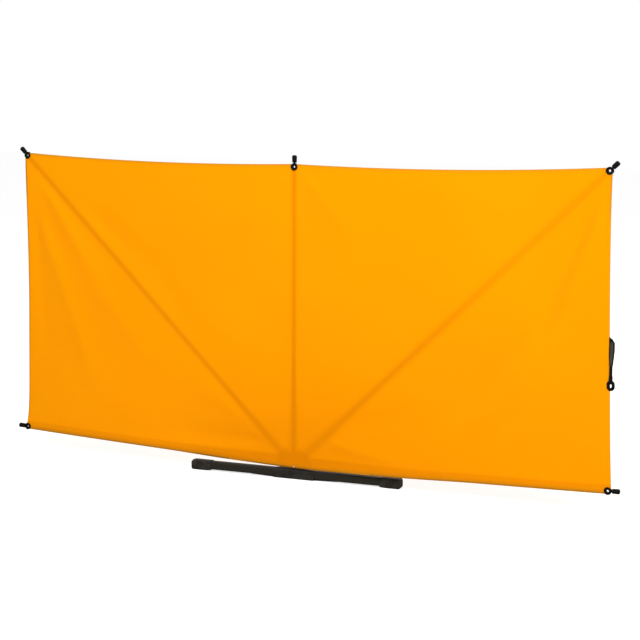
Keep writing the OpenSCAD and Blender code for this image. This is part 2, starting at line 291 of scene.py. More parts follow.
world = bpy.data.worlds.new("studio")
bpy.context.scene.world = world
world.use_nodes = True
tree = world.node_tree
sky, seen = tree.nodes["Background"], tree.nodes.new("ShaderNodeBackground")
plug((SKY_GREY,) * 3, sky.inputs["Color"])
plug((1, 1, 1), seen.inputs["Color"])
either = rays(tree, "Is Camera Ray").larger(rays(tree, "Is Glossy Ray"))
put_out(tree, either, sky, seen, "World Output")

bm = bmesh.new()
bmesh.ops.create_grid(bm, x_segments=2, y_segments=2, size=30)
floor_mesh = bpy.data.meshes.new("studio_floor")
bm.to_mesh(floor_mesh)
bm.free()
floor = add_object("studio_floor", floor_mesh)
paper, tree, diffuse = new_finish("studio_paper", 1, Specular_IOR_Level=0)
plug((FLOOR_GREY,) * 3, diffuse.inputs["Base Color"])
glow, total = tree.nodes.new("ShaderNodeEmission"), tree.nodes.new("ShaderNodeAddShader")
plug(FLOOR_GLOW, glow.inputs["Strength"])
tree.links.new(diffuse.outputs[0], total.inputs[0])
tree.links.new(glow.outputs[0], total.inputs[1])
put_out(tree, rays(tree, "Is Camera Ray"), diffuse, total, "Material Output")
floor_mesh.materials.append(paper)

# %% [markdown]
# ## Finishes for the hard parts
#
# The mouldings are black nylon straight from the tool. Such nylon has a fine spark
# texture on its faces, and it is a little cloudy. The foot bar is a steel tube with a
# powder coat, which has a soft orange-peel skin and some long scuffs. The ribs are dull
# drawn tubes with a fine grain, and the pins are bright steel.

# %% Nylon, powder coat, drawn tube and steel
NYLON_SHINE, COAT_SHINE = 0.06, 0.05
# scales of the patterns, and depths of the skins
CLOUDS, SPARKS, PEEL, SCUFFS, DRAWN, TURNED = 28, 2600, 520, 6, 900, 3
ROUGH_SKIN, FINE_SKIN, PEEL_SKIN, DRAWN_SKIN, TURNED_SKIN = 0.00012, 0.00006, 0.00022, 0.00004, 0.00003
# how a pattern is stretched along the bar, and along a pin that runs from front to back
ALONG_BAR, ALONG_PIN = (6, 40, 40), (400, 1, 400)


def moulded_nylon(name, colour, roughness, skin):
    finish, tree, surface = new_finish(name, roughness, Specular_IOR_Level=NYLON_SHINE)
    cloudy = grain(object_place(tree), CLOUDS, 4)
    lighter = tuple(c * 1.55 + 0.004 for c in colour)
    paint(surface, cloudy.ramp(0.35, 0.7), colour, lighter)
    roughen(surface, cloudy, 0.3, 0.7, roughness - 0.08, roughness + 0.1)
    bump(surface, grain(object_place(tree), SPARKS, 2), skin)
    return finish


HUB_NYLON = moulded_nylon("hub_nylon", (0.017, 0.016, 0.014), 0.55, ROUGH_SKIN)
TIP_NYLON = moulded_nylon("tip_nylon", (0.0016, 0.0013, 0.0012), 0.42, FINE_SKIN)
FOOT_NYLON = moulded_nylon("foot_nylon", (0.019, 0.018, 0.014), 0.55, ROUGH_SKIN)

BAR_COAT, tree, surface = new_finish("bar_powder_coat", 0.55, Specular_IOR_Level=COAT_SHINE)
scuffs = grain(object_place(tree, ALONG_BAR), SCUFFS, 6, 0.7)
paint(surface, scuffs.ramp(0.62, 0.78), (0.023, 0.0215, 0.016), (0.044, 0.042, 0.034))
roughen(surface, scuffs, 0.35, 0.75, 0.46, 0.64)
bump(surface, grain(object_place(tree), PEEL, 2), PEEL_SKIN)

RIB_TUBE, tree, surface = new_finish("drawn_rib_tube", 0.38, 0.85)
drawn = grain(object_place(tree), DRAWN, 4, 0.7)
paint(surface, drawn, (0.33, 0.34, 0.35), (0.5, 0.51, 0.52))
roughen(surface, drawn, 0.3, 0.7, 0.3, 0.46)
bump(surface, drawn, DRAWN_SKIN)

PIN_STEEL, tree, surface = new_finish("turned_steel", 0.3, 1.0)
bright = grain(object_place(tree, ALONG_PIN), TURNED, 3)
paint(surface, bright, (0.45, 0.45, 0.46), (0.66, 0.66, 0.67))
bump(surface, bright, TURNED_SKIN)
print("hard finishes:", [m.name for m in (HUB_NYLON, TIP_NYLON, FOOT_NYLON, BAR_COAT, RIB_TUBE)])

# %% [markdown]
# ## Dress the hard parts
#
# A construction part whose shape is right stays as it is and takes a finish. The name of
# each part says what it is made of, so one list of name endings is enough.

# %% Give each construction part its finish
FINISH_OF = {
    "rib": RIB_TUBE, "eye": TIP_NYLON, "tip": TIP_NYLON, "pin": PIN_STEEL,
    "knuckle": HUB_NYLON, "fork": HUB_NYLON, "plate": HUB_NYLON, "socket": HUB_NYLON,
    "saddle": HUB_NYLON, "cap": FOOT_NYLON, "bar": BAR_COAT,
}
for name, part in frame["nodes"].items():
    finish = FINISH_OF.get(name.split("_")[-1])
    if finish:
        for slot in part.material_slots:
            slot.material = finish
print("dressed:", sum(n.split("_")[-1] in FINISH_OF for n in frame["nodes"]), "construction parts")

# %% [markdown]
# ## The cloth's outline
#
# Each edge of a stretched sheet is pulled into a slight inward curve between its eyes.
# The outline is written as three short functions, and the grid below is drawn into it.
# The top is the same both ways. Each side has a sag of its own, and the hem hangs a
# little lower beside the hub, more so on the right.

# %% Edges of the sheet
TOP_SAG, LOW_SAG = 0.0185, 0.003
# how much lower the hem hangs beside the hub, and where that ends, on each side
HUB_DROP = {1: (0.0065, 0.50, 1.00), -1: (0.0045, 0.35, 0.75)}
# how much lower it hangs at the very middle, and where that changes to the drop above
MIDDLE_DROP, DROP_GROWS = 0.004, (0.02, 0.12)
# sag of the side, and how quickly it bows above and below the middle
SIDE_BOW = {1: (0.010, 3.5, 2), -1: (0.024, 1.4, 12)}
# how much further out than its margin each side is sewn, at the top and at the bottom
SIDE_OUT = {1: (0.0000, 0.0026), -1: (0.0018, 0.0022)}


def ease(value, low, high):
    share = min(1, max(0, (value - low) / (high - low)))
    return share * share * (3 - 2 * share)


def slack(share):
    """0 at both ends of an edge and 1 at its middle."""
    return 4 * max(0, share * (1 - share))


def top_edge(across):
    share = across / HIGH_EYE.x
    straight = TOP_EYE.z + MARGIN + share * (HIGH_EYE.z - TOP_EYE.z)
    return straight - slack(share) * TOP_SAG


def bottom_edge(across, side=1):
    straight = LOW_EYE.z - MARGIN - (LOW_EYE.x - across) * math.tan(LOW_TILT)
    depth, start, end = HUB_DROP[side]
    drop = depth + (MIDDLE_DROP - depth) * (1 - ease(across, *DROP_GROWS))
    return straight - slack(across / LOW_EYE.x) * LOW_SAG - drop * (1 - ease(across, start, end))


def side_edge(share, side):
    """How far out a side is, from the upper eye at 0 to the lower eye at 1."""
    sag, above, below = SIDE_BOW[side]
    share = min(1, max(0, share))
    bow = 1 - abs(2 * share - 1) ** (above if share < 0.5 else below)
    high, low = SIDE_OUT[side]
    out = high + (low - high) * ease(share, 0.3, 0.7)
    return HIGH_EYE.x + MARGIN + share * (LOW_EYE.x - HIGH_EYE.x) - sag * bow + out


def side_of(across):
    return 1 if across > 0 else -1


def side_at(across, up):
    """How far out the side is at a height, on the side where a point lies."""
    return side_edge((HIGH_EYE.z - up) / (HIGH_EYE.z - LOW_EYE.z), side_of(across))


def seam_height(across):
    """Height of the diagonal rib's line, where two gores of cloth are sewn."""
    return HIGH_EYE.z - (HIGH_EYE.x - across) * math.tan(DIAG_TILT)


print("sheet height at the middle:", round(top_edge(0) - bottom_edge(0), 3))

# %% [markdown]
# ## Tension folds
#
# Cloth that is held at a few points carries its load in straight lines between them,
# and it wrinkles along those lines. Here each fold is a long soft ridge with a start, an
# end, a width and a height, and the sheet is moved forward by their sum.

# %% List the folds
# start x, start z, end x, end z, half width at the start and end, height
FOLDS = [
    (-1.47, 1.430, -1.12, 0.880, 0.030, 0.060, 0.0065),
    (-1.12, 0.880, -0.78, 0.500, 0.055, 0.070, 0.0045),
    (-1.50, 1.250, -1.17, 0.420, 0.035, 0.060, 0.0055),
    (-1.53, 1.314, -1.46, 0.500, 0.030, 0.045, -0.0030),
    (1.50, 1.410, 1.27, 0.870, 0.024, 0.052, -0.0100),
    (1.53, 1.360, 1.33, 0.840, 0.032, 0.058, 0.0085),
    (1.28, 0.870, 0.84, 0.360, 0.050, 0.060, -0.0080),
    (1.33, 0.800, 0.92, 0.330, 0.050, 0.060, 0.0060),
    (1.22, 0.590, 1.16, 0.440, 0.040, 0.050, 0.0035),
    (-1.20, 1.314, -0.55, 0.794, 0.060, 0.120, -0.0060),
    (-0.70, 0.964, -0.20, 0.614, 0.100, 0.120, 0.0050),
    (-0.14, 0.174, -0.62, 0.184, 0.022, 0.060, -0.0045),
    (-0.20, 0.264, -0.55, 0.434, 0.030, 0.070, 0.0035),
    (0.14, 0.214, 0.60, 0.129, 0.022, 0.050, 0.0045),
    (0.22, 0.294, 0.66, 0.374, 0.030, 0.070, -0.0035),
    (0.05, 1.514, 0.35, 1.214, 0.020, 0.070, 0.0030),
    (-0.05, 1.514, -0.33, 1.234, 0.020, 0.070, 0.0030),
]


# two swells of the whole sheet: height, how close together, and layer of the noise
SWELLS = [(0.004, 1.7, 4.2), (0.0012, 5.0, 9.1)]


def fold_height(across, up):
    total = sum(height * noise.noise(Vector((across * close, up * close, layer)))
                for height, close, layer in SWELLS)
    for x0, z0, x1, z1, w0, w1, height in FOLDS:
        along_x, along_z = x1 - x0, z1 - z0
        length = math.hypot(along_x, along_z)
        share = ((across - x0) * along_x + (up - z0) * along_z) / length ** 2
        if not -0.25 < share < 1.25:
            continue
        gap = ((across - x0) * along_z - (up - z0) * along_x) / length
        width = w0 + (w1 - w0) * min(1, max(0, share))
        fade = ease(share, -0.2, 0.2) * (1 - ease(share, 0.75, 1.2))
        total += height * fade * math.exp(-((gap / width) ** 2))
    return total


# how wide and how dark each sleeve shows through: the cloth lies tightest on the middle one
SHOWS = {"middle": (0.0135, 0.56), "left": (0.0155, 0.46), "right": (0.0195, 0.41)}
# how much fainter the right ones show at their tips, and between which places that grows
TIPS_FAINTER, FAINTS = 0.30, (0.9, 1.8)
# a rib's line starts this far behind the pin, and the right side this far from the middle
RIB_START, RIGHT_START = -0.08, 0.02


def rib_gap(across, up):
    """Distance to the nearest rib's line, the place along that rib, and how it shows."""
    x = abs(across)
    side_look = SHOWS["right" if across > 0 else "left"]
    lines = [(x, up - PIN.z, *SHOWS["middle"])]
    for tilt, side in ((DIAG_TILT, RIB_OFFSET), (LOW_TILT, -RIB_OFFSET)):
        c, s = math.cos(tilt), math.sin(tilt)
        dx, dz = x - PIN.x, up - PIN.z
        lines.append((abs(-s * dx + c * dz - side), c * dx + s * dz, *side_look))
    gap, run, width, depth = min(line for line in lines if line[1] > RIB_START)
    if across > RIGHT_START:
        depth *= 1 - TIPS_FAINTER * ease(run, *FAINTS)
    return gap, run, width, depth


print("folds:", len(FOLDS), "deepest:", max(abs(f[-1]) for f in FOLDS) * 1000, "mm")

# %% [markdown]
# ## Cut the sheet
#
# The whole sheet starts as one fine grid, so it stays one continuous surface. The grid
# is drawn into the outline, cut with planes along every rib, and moved by the folds.
# Round each eye it is cut with a ring of planes, which leaves a clean round hole.

# %% Draw the grid into the outline and cut it
COLUMNS, ROWS = 300, 140
sheet_bm = bmesh.new()
bmesh.ops.create_grid(sheet_bm, x_segments=COLUMNS, y_segments=ROWS, size=1)
for v in sheet_bm.verts:
    u, t = v.co.x, (v.co.y + 1) / 2
    side = side_of(u)
    across = abs(u) * side_edge(1 - t, side)
    low = bottom_edge(across, side)
    up = low + (top_edge(across) - low) * t
    v.co = (math.copysign(across, u), CLOTH_FRONT, up)


def cut(bm, place, normal, near=None, radius=0.0):
    """Cuts the faces with a plane; near and radius keep the cut local."""
    faces = [f for f in bm.faces if near is None or (f.calc_center_median() - near).length < radius]
    edges = {e for f in faces for e in f.edges}
    verts = {v for f in faces for v in f.verts}
    bmesh.ops.bisect_plane(bm, geom=list(verts) + list(edges) + faces, dist=1e-6,
                           plane_co=place, plane_no=normal)


# half width of the apron in front of the hub
APRON = 0.066
for side in (1, -1):
    cut(sheet_bm, Vector((side * HIGH_EYE.x, 0, HIGH_EYE.z)),
        Vector((-side * math.sin(DIAG_TILT), 0, math.cos(DIAG_TILT))))
    cut(sheet_bm, Vector((side * LOW_EYE.x, 0, LOW_EYE.z)),
        Vector((-side * math.sin(LOW_TILT), 0, math.cos(LOW_TILT))))
    cut(sheet_bm, Vector((side * APRON, 0, 0)), Vector((1, 0, 0)))

HOLE_R, HOLE_CUTS = 0.0145, 14
# how far from an eye the cross cuts, the ring of cuts and the slit to the tip reach
CROSS_REACH, RING_REACH, SLIT_REACH = 0.04, 0.036, 0.03
BETWEEN_EYES_Z = 1.0
eyes = [Vector((s * e.x, CLOTH_FRONT, e.z)) for e in (HIGH_EYE, LOW_EYE) for s in (1, -1)]
eyes.append(Vector((0, CLOTH_FRONT, TOP_EYE.z)))
for eye in eyes:
    cut(sheet_bm, eye, Vector((1, 0, 0)), eye, CROSS_REACH)
    cut(sheet_bm, eye, Vector((0, 0, 1)), eye, CROSS_REACH)
    for k in range(HOLE_CUTS):
        angle = 2 * math.pi * k / HOLE_CUTS
        out = Vector((math.cos(angle), 0, math.sin(angle)))
        cut(sheet_bm, eye + out * HOLE_R, out, eye, RING_REACH)
gone = []
for f in sheet_bm.faces:
    centre = f.calc_center_median()
    for eye in eyes:
        gap = centre - eye
        outward = eye.x * gap.x > 0 and (gap.z > 0) == (eye.z > BETWEEN_EYES_Z)
        if gap.length < HOLE_R or (outward and gap.length < SLIT_REACH):
            gone.append(f)
            break
bmesh.ops.delete(sheet_bm, geom=gone, context="FACES")
bmesh.ops.remove_doubles(sheet_bm, verts=sheet_bm.verts, dist=2e-5)
print("sheet faces:", len(sheet_bm.faces), "cut away round the eyes:", len(gone))

# %% [markdown]
# ## Turn the hems and shape the folds
#
# A hem is an edge that is folded to the back and sewn down. Extruding the sheet's open
# edge backwards and then inwards makes that fold. Before that, each point keeps where it
# lies in the flat cloth. The weave, the stitches and the shading read those numbers
# later, so they stay on the thread when the cloth is folded.

# %% Hem, flat coordinates and folds
SIDE_HEM, LOW_HEM = 0.018, 0.046
# the back layer of a hem lies this far behind, and hems stop this far short of a hole
HEM_GAP, HEM_STOP = CLOTH_BACK - CLOTH_FRONT - 0.0003, 0.004
STRAP_SEAM_Z = 0.73
# the folds fade in between these distances from a rib, an eye, the strap and the hub
BY_RIB, BY_EYE, BY_STRAP, BY_HUB = (0.008, 0.07), (0.02, 0.07), (0.14, 0.34), (0.12, 0.25)


def points_of(geom):
    return [g for g in geom if isinstance(g, bmesh.types.BMVert)]


def inner_edges(geom, points):
    """The edges that run between the given points only."""
    chosen = set(points)
    return [g for g in geom if isinstance(g, bmesh.types.BMEdge) and chosen.issuperset(g.verts)]


def keep_numbers(bm, *names):
    """Room on each point of a mesh for one number per name."""
    return [bm.verts.layers.float.new(name) for name in names]


rib_layers = keep_numbers(sheet_bm, "rib_gap", "rib_run", "rib_width", "rib_depth")
edge_layer, line_layer, low_layer = keep_numbers(sheet_bm, "edge_gap", "edge_run", "low_gap")
flat_x, flat_z = keep_numbers(sheet_bm, "flat_x", "flat_z")


def keep_rib_numbers(v):
    for layer, number in zip(rib_layers, rib_gap(v.co.x, v.co.z)):
        v[layer] = number


def edge_gaps(across, up):
    """How far a point of the flat sheet is from the top, the bottom and the side."""
    x = abs(across)
    return top_edge(x) - up, up - bottom_edge(x, side_of(across)), side_at(across, up) - x


for v in sheet_bm.verts:
    keep_rib_numbers(v)
    gaps, x, z = edge_gaps(v.co.x, v.co.z), abs(v.co.x), v.co.z
    v[edge_layer], v[line_layer] = min(zip(gaps, (x, x, z)))
    v[low_layer] = gaps[1]
    v[flat_x], v[flat_z] = v.co.x, z

rim = []
for e in sheet_bm.edges:
    if e.is_boundary:
        middle = (e.verts[0].co + e.verts[1].co) / 2
        if min((middle - eye).length for eye in eyes) > HOLE_R + HEM_STOP:
            rim.append(e)


def push_in(v):
    """The way from the edge into the cloth, with the hem's width as its length."""
    top, low, side = edge_gaps(v[flat_x], v[flat_z])
    nearest = min(top, low, side)
    if nearest == low:
        return Vector((0, 0, LOW_HEM))
    if nearest == top:
        return Vector((0, 0, -SIDE_HEM))
    return Vector((-math.copysign(SIDE_HEM, v.co.x), 0, 0))


turned = bmesh.ops.extrude_edge_only(sheet_bm, edges=rim)["geom"]
bmesh.ops.translate(sheet_bm, verts=points_of(turned), vec=(0, HEM_GAP, 0))
back_rim = inner_edges(turned, points_of(turned))
tucked = bmesh.ops.extrude_edge_only(sheet_bm, edges=back_rim)["geom"]
for v in points_of(tucked):
    v.co += push_in(v)
    v[edge_layer] = SIDE_HEM
    keep_rib_numbers(v)
bmesh.ops.recalc_face_normals(sheet_bm, faces=sheet_bm.faces)
if sum(f.normal.y for f in sheet_bm.faces if f.calc_center_median().y < CLOTH_FRONT + 1e-5) > 0:
    bmesh.ops.reverse_faces(sheet_bm, faces=sheet_bm.faces)
strap_spot = Vector((side_at(1, STRAP_SEAM_Z), CLOTH_FRONT, STRAP_SEAM_Z))
for v in sheet_bm.verts:
    free = ease(rib_gap(v.co.x, v.co.z)[0], *BY_RIB)
    free *= ease(min((v.co - eye).length for eye in eyes), *BY_EYE)
    free *= ease((v.co - strap_spot).length, *BY_STRAP)
    free *= ease(math.hypot(v.co.x, v.co.z - PIN.z), *BY_HUB)
    v.co.y -= free * fold_height(v.co.x, v.co.z)
print("hem edges:", len(rim), "points:", len(sheet_bm.verts))

# %% [markdown]
# ## What shows through the cloth
#
# The cloth is a plain woven polyester with a thin proofing on it. The proofing makes it
# nearly matt, and the weave gives it a little sheen at a low angle. Where a sleeve and a
# rib lie behind it, less light comes through, so it reads darker there. The light is not
# traced through the cloth: each function here paints one such place, as a number from 0
# to 1, from the distances that the points keep.

# %% Ribs, plates and hems behind the cloth
PLATES_SHOW, HEMS_SHOW, MOUND_SHOWS = 0.40, 0.30, 0.27
# the mound of shade round the hub: its height, and how far it reaches out and up
MOUND_Z, MOUND_OUT, MOUND_UP = 0.10, 0.50, 0.38


def bell(squares):
    """1 where a squared distance is 0, and soon 0 further out."""
    return maths(squares.tree, "POWER", 2.718, squares * -1.0)


def shown_ribs(gap, run):
    """A soft band on each rib, which is wider and fainter near the hub."""
    reach = reading(gap.tree, "rib_width") * run.ramp(0.10, 0.42, 1.45, 1.0)
    strength = reading(gap.tree, "rib_depth") * run.ramp(0.05, 0.5, 0.72, 1.0)
    return bell((gap / reach).squared()) * strength


def shown_plates(across, up):
    """The hub's plates, which get narrower upwards."""
    half = up.ramp(PIN.z - 0.03, PIN.z + 0.055, 0.124, 0.078, smooth=False)
    inside = (abs(across) - half).ramp(0.030, -0.024)
    return inside * up.ramp(PIN.z + 0.085, PIN.z + 0.030) * PLATES_SHOW


def shown_hems(low, mound):
    """The doubled hem, whose shade reaches a little higher at the hub."""
    return (low + mound * -0.02).ramp(0.052, 0.034) * HEMS_SHOW


def painted_broad_shade(across, up):
    """Painted shade, a little deeper at the lower right and at the right end."""
    lower_right = across.ramp(-0.3, 0.9) * up.ramp(1.15, 0.25, 0.0, 0.13)
    return lower_right.larger(across.ramp(1.10, 1.50, 0.0, 0.09))


def all_shade(gap, run, low, across, up):
    mound = bell((across / MOUND_OUT).squared() + ((up - MOUND_Z) / MOUND_UP).squared())
    shade = shown_ribs(gap, run).larger(shown_plates(across, up)).larger(shown_hems(low, mound))
    shade = shade.reckon("ADD", mound * MOUND_SHOWS, clamp=True)
    return shade.reckon("ADD", painted_broad_shade(across, up), clamp=True)


print("shade of plates, hems and hub:", PLATES_SHOW, HEMS_SHOW, MOUND_SHOWS)

# %% [markdown]
# ## The cloth's finish
#
# The finish is put on in the order in which cloth is made: the dyed weave first, then
# the painted shade of what shows through it and round it, then the rolled edges, and the
# stitches on top. Two rows of stitches hold each sleeve.

# %% Woven, proofed polyester
CLOTH_COLOUR, CLOTH_DEEP = (1.0, 0.336, 0.0), (0.93, 0.250, 0.0)
CLOTH_SHADED, ROLLED_COLOUR = (0.64, 0.178, 0.0), (0.52, 0.222, 0.008)
THREAD_COLOUR, GLINT = (0.83, 0.24, 0.004), (1.0, 0.45, 0.08, 1)
WEAVE_PITCH, WEAVE_DEPTH, SLUBS, MOTTLES = 0.0011, 0.00016, 900, 2.2
THREAD_HALF, STITCH_PITCH = 0.0007, 0.0042
# how far a row of stitches lies from the edge, from the lower edge and from a rib's line
EDGE_ROW, LOW_ROW, SLEEVE_ROW = 0.0165, 0.0425, 0.0098


def stitch_row(gap, run, middle):
    """1 on the thread of a row of stitches that lies middle metres from a line."""
    on_line = abs(gap - middle).ramp(THREAD_HALF, THREAD_HALF * 0.4)
    return on_line * run.wave(STITCH_PITCH).ramp(-0.5, -0.1)


def rolled_edges(edge, low, up):
    """Where an edge rolls away from the light: most at the bottom, then at the top."""
    top = edge.ramp(0.015, 0.003, 0.0, 0.74) * up.ramp(1.30, 1.42)
    bottom = low.ramp(0.024, 0.003, 0.0, 0.85)
    return edge.ramp(0.009, 0.001, 0.0, 0.36).larger(bottom).larger(top)


def sewn_cloth(name, show_ribs):
    cloth, tree, surface = new_finish(name, 0.72, Specular_IOR_Level=0.10, Specular_Tint=GLINT,
                                      Sheen_Weight=0.06, Sheen_Roughness=0.5, Sheen_Tint=GLINT)
    across, up, gap, run, edge, line, low = [reading(tree, kept) for kept in (
        "flat_x", "flat_z", "rib_gap", "rib_run", "edge_gap", "edge_run", "low_gap")]
    join = tree.nodes.new("ShaderNodeCombineXYZ")
    plug(across, join.inputs["X"])
    plug(up, join.inputs["Y"])
    flat = Wire(tree, join.outputs[0])
    slub = grain(flat, SLUBS, 2)
    colour = blend_colour(grain(flat, MOTTLES, 3).ramp(0.3, 0.75, 0, 0.10), CLOTH_COLOUR, CLOTH_DEEP)
    sewn = stitch_row(edge, line, EDGE_ROW).larger(stitch_row(low, line, LOW_ROW))
    if show_ribs:
        colour = blend_colour(all_shade(gap, run, low, across, up), colour, CLOTH_SHADED)
        sewn = sewn.larger(stitch_row(gap, run, SLEEVE_ROW))
    colour = blend_colour(rolled_edges(edge, low, up), colour, ROLLED_COLOUR)
    paint(surface, sewn * 0.8, colour, THREAD_COLOUR)
    roughen(surface, slub, 0.3, 0.7, 0.66, 0.8)
    weave = across.wave(WEAVE_PITCH) * up.wave(WEAVE_PITCH)
    bump(surface, weave * 0.25 + slub * 0.5 - sewn * 1.5, WEAVE_DEPTH)
    return cloth


SCREEN_CLOTH = sewn_cloth("screen_cloth", True)
print("cloth finish:", SCREEN_CLOTH.name, "nodes:", len(SCREEN_CLOTH.node_tree.nodes))

# %% [markdown]
# ## Separate the gores
#
# The ribs swing on their pins, so each gore of cloth between two ribs has to fold by
# itself. The sheet is parted along the diagonal ribs and the middle rib. A small apron
# in front of the hub stays still. For each point of a gore a share of the swing is worked
# out: none at its inner rib, all of it at its outer one, and an even share in between.

# %% Part the sheet and work out each point's share of the swing
def finish_mesh(name, bm, finish):
    """Makes a piece of a bmesh. Open edges stay sharp, so a rim doesn't shade the face."""
    for e in bm.edges:
        e.smooth = not e.is_boundary
    mesh = bpy.data.meshes.new(name)
    bm.to_mesh(mesh)
    bm.free()
    mesh.materials.append(finish)
    mesh.polygons.foreach_set("use_smooth", [True] * len(mesh.polygons))
    return add_object(name, mesh)


def give_thickness(piece, thickness, offset=-1):
    wall = piece.modifiers.new("cloth_thickness", "SOLIDIFY")
    wall.thickness = thickness
    wall.offset = offset
    return piece


# the cloth within this distance of a rib's line gets that rib's share of the swing
BAND = 0.016
# lines beside the ribs, as a tilt and how far the line passes beside the pin
INNER, LOW = (math.pi / 2, PIN.x - BAND), (LOW_TILT, BAND - RIB_OFFSET)
DIAG_OVER, DIAG_UNDER = (DIAG_TILT, RIB_OFFSET + BAND), (DIAG_TILT, RIB_OFFSET - BAND)
# the lower gores lap over the rest at the hub, so folded layers never share one plane
HUB_LAP, LAP_FADES = 0.0007, (0.12, 0.18)
# up to the first distance from the pin the upper gores stay with the hub
HUB_STAYS = (0.02, 0.075)


def line_angle(line, radius):
    """Direction from the pin to a line beside a rib, at a distance from the pin."""
    tilt, beside = line
    return tilt + math.asin(max(-1, min(1, beside / radius)))


def swing_share(place, upper, lower):
    """0 on the upper line, 1 on the lower one, and near the hub the cloth stays."""
    x, z = abs(place.x) - PIN.x, place.z - PIN.z
    radius = max(1e-4, math.hypot(x, z))
    angle = math.atan2(z, x)
    if angle < -math.pi / 2:
        angle += 2 * math.pi
    first, last = line_angle(upper, radius), line_angle(lower, radius)
    share = min(1, max(0, (first - angle) / max(1e-6, first - last)))
    return share * ease(radius, *HUB_STAYS) if upper == INNER else share


def tie(piece, inner_body, outer_body, upper, lower):
    side = -1 if outer_body.startswith("left") else 1
    side * 0.05
    side * 1.5
    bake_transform(piece)
    shares = [swing_share(v.co, upper, lower) for v in piece.data.vertices]


def gore_of(face):
    centre = face.calc_center_median()
    side = "right" if centre.x > 0 else "left"
    if centre.z > seam_height(abs(centre.x)):
        return side + "_high_gore"
    return "hub_apron" if abs(centre.x) < APRON else side + "_low_gore"


gores = {}
for name in ("left_low_gore", "left_high_gore", "right_high_gore", "right_low_gore", "hub_apron"):
    part = sheet_bm.copy()
    bmesh.ops.delete(part, geom=[f for f in part.faces if gore_of(f) != name], context="FACES")
    if "low" in name:
        for v in part.verts:
            reach = math.hypot(abs(v.co.x) - PIN.x, v.co.z - PIN.z)
            v.co.y -= HUB_LAP * (1 - ease(reach, *LAP_FADES))
    one_side = sum(f.calc_area() for f in part.faces)
    gores[name] = give_thickness(finish_mesh(name, part, SCREEN_CLOTH), 0.0005)
    side = "left" if name.startswith("left") else "right"
    held_by = [side + "_diag_eye", side + "_low_eye" if "low" in name else "centre_eye"]
for side in ("left", "right"):
    high, low = gores[side + "_high_gore"], gores[side + "_low_gore"]
    tie(high, "root", side + "_diag_arm", INNER, DIAG_OVER)
    tie(low, side + "_diag_arm", side + "_low_arm", DIAG_UNDER, LOW)
    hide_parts(side + "_high_panel")
    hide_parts(side + "_low_panel")
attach(gores["hub_apron"], "root")
sheet_bm.free()

# %% [markdown]
# ## Sleeves
#
# Each rib runs in a sleeve sewn to the back of the cloth. A sleeve is a strip of the
# same cloth, laid in an arch over the rib, with a flat foot on each side for the
# stitches. A grid is bent into that section, with the small puckers of a long seam.

# %% Sew the sleeves
SLEEVE_R, SLEEVE_FOOT, FOOT_Y = 0.0089, 0.0117, -0.0122
# how far from the pin a sleeve starts, and how far before the eye it ends
SLEEVE_HUB, SLEEVE_EYE = 0.090, 0.070
# the strip's flat width, its width with the edges turned in, and the stitches' inset
SLEEVE_STRIP, SLEEVE_SEWN, ROW_INSET = 0.058, 0.052, 0.003
# shares of the strip at which a foot ends and the arch begins
FOOT_END, ARCH_START = 0.12, 0.24
SLEEVE_COLUMNS, SLEEVE_STEP, PUCKER = 26, 0.012, 0.05
# too far off for any band or stitch
FAR = 0.5


def sleeve_section(share):
    """Across and depth of the strip, for share 0 to 1: foot, wall, arch, wall and foot."""
    inwards, way = min(share, 1 - share), math.copysign(1, share - 0.5)
    if inwards < FOOT_END:
        return way * (SLEEVE_FOOT - (SLEEVE_FOOT - SLEEVE_R) * inwards / FOOT_END), FOOT_Y
    if inwards < ARCH_START:
        return way * SLEEVE_R, FOOT_Y * (ARCH_START - inwards) / (ARCH_START - FOOT_END)
    turn = math.pi * (share - ARCH_START) / (1 - 2 * ARCH_START)
    return -SLEEVE_R * math.cos(turn), SLEEVE_R * math.sin(turn)


def make_sleeve(word, length, offset, tilt):
    bm = bmesh.new()
    run = length - SLEEVE_EYE - SLEEVE_HUB
    bmesh.ops.create_grid(bm, x_segments=SLEEVE_COLUMNS, y_segments=int(run / SLEEVE_STEP), size=1)
    layers = keep_numbers(bm, "rib_gap", "rib_run", "edge_gap", "edge_run", "low_gap", "flat_x", "flat_z")
    for v in bm.verts:
        share, t = (v.co.x + 1) / 2, (v.co.y + 1) / 2
        across, depth = sleeve_section(share)
        place = SLEEVE_HUB + t * run
        edge = min(share, 1 - share) * SLEEVE_SEWN + EDGE_ROW - ROW_INSET
        for layer, number in zip(layers, (FAR, place, edge, place, FAR, share * SLEEVE_SEWN, place)):
            v[layer] = number
        pucker = noise.noise(Vector((place * 26, share * 5, length)))
        pinch = 1 + PUCKER * pucker * math.sin(math.pi * share)
        v.co = (place, depth * pinch if depth > 0 else depth, offset + across * pinch)
    origin = Vector((0, 0, PIN.z)) if word == "centre" else PIN
    stand = Matrix.Translation(origin) @ Matrix.Rotation(-tilt, 4, "Y")
    bmesh.ops.transform(bm, verts=bm.verts, matrix=stand)
    if word.startswith("left"):
        bmesh.ops.scale(bm, verts=bm.verts, vec=(-1, 1, 1))
    bmesh.ops.recalc_face_normals(bm, faces=bm.faces)
    top = max(bm.faces, key=lambda f: f.calc_center_median().y)
    if top.normal.y < 0:
        bmesh.ops.reverse_faces(bm, faces=bm.faces)
    sleeve = give_thickness(finish_mesh(word + "_rib_sleeve", bm, SLEEVE_CLOTH), 0.0006, 0)
    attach(sleeve, "root" if word == "centre" else word + "_arm")
    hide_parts(word + "_sleeve")
    word + "_rib"
    return sleeve


SLEEVE_CLOTH = sewn_cloth("sleeve_cloth", False)
